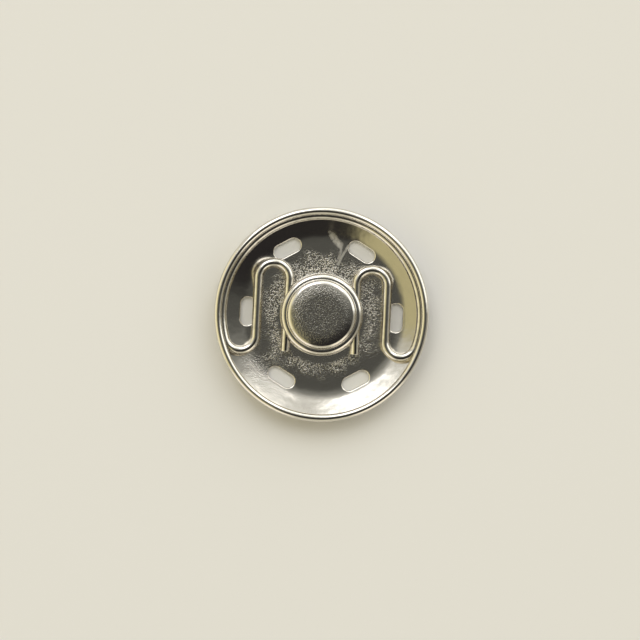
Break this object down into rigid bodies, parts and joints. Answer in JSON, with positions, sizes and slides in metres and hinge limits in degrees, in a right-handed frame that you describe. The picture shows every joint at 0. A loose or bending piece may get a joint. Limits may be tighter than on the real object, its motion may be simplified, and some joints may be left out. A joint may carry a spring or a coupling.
{
  "type": "snap fastener socket",
  "caption": "Socket half of a round sew-on snap fastener: a pressed shell with a closed boss, a folded rim and sewing slots, and a bent wire spring in the rim whose legs cross the boss.",
  "frame": {"origin": "centre of the flat mating face, on the surface that the part lies on", "axes": "+Z along the boss axis, from the mating face to the hollow sewing side; Y along the legs of the spring, whose free ends point to -Y; X across the legs, through two of the sewing slots"},
  "size_m": [0.021, 0.021, 0.0029],
  "materials": {
    "plated_shell": "bright nickel plating, pressed grain on the floor and the boss",
    "plated_wire": "bright nickel plating"
  },
  "bodies": {
    "root": {"socket_shell": "plated_shell", "spring": "plated_wire"}
  },
  "joints": []
}
